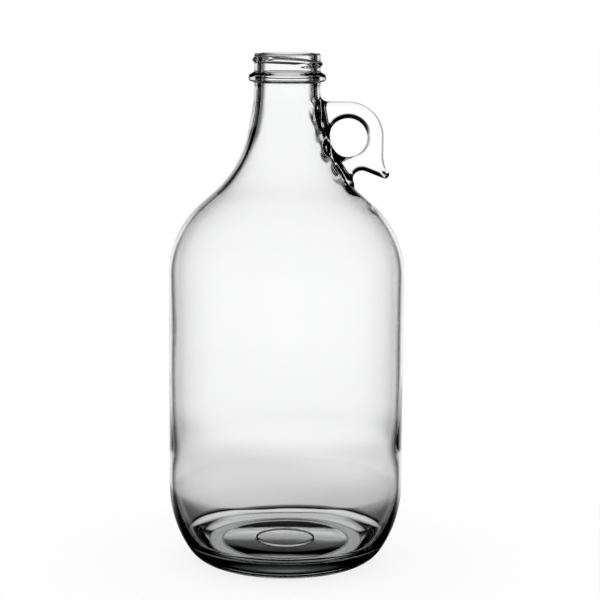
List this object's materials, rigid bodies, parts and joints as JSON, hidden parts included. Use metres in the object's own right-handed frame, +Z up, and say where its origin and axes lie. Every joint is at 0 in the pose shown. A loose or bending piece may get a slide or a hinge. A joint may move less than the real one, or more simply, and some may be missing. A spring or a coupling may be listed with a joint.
{
  "type": "glass water jug",
  "caption": "Clear glass jug with a straight round body, sloping shoulder, narrow screw-thread mouth and small ring handle on the neck, for storing and pouring drinks.",
  "frame": {"origin": "on the jug's axis, at the surface it stands on", "axes": "+Z up along the jug's axis, +X towards the ring handle"},
  "size_m": [0.124, 0.124, 0.27],
  "materials": {
    "glass": "clear, fire-polished"
  },
  "bodies": {
    "root": {"base": "glass", "body": "glass", "shoulder": "glass", "neck": "glass", "finish": "glass", "thread": "glass", "handle": "glass"}
  },
  "joints": []
}
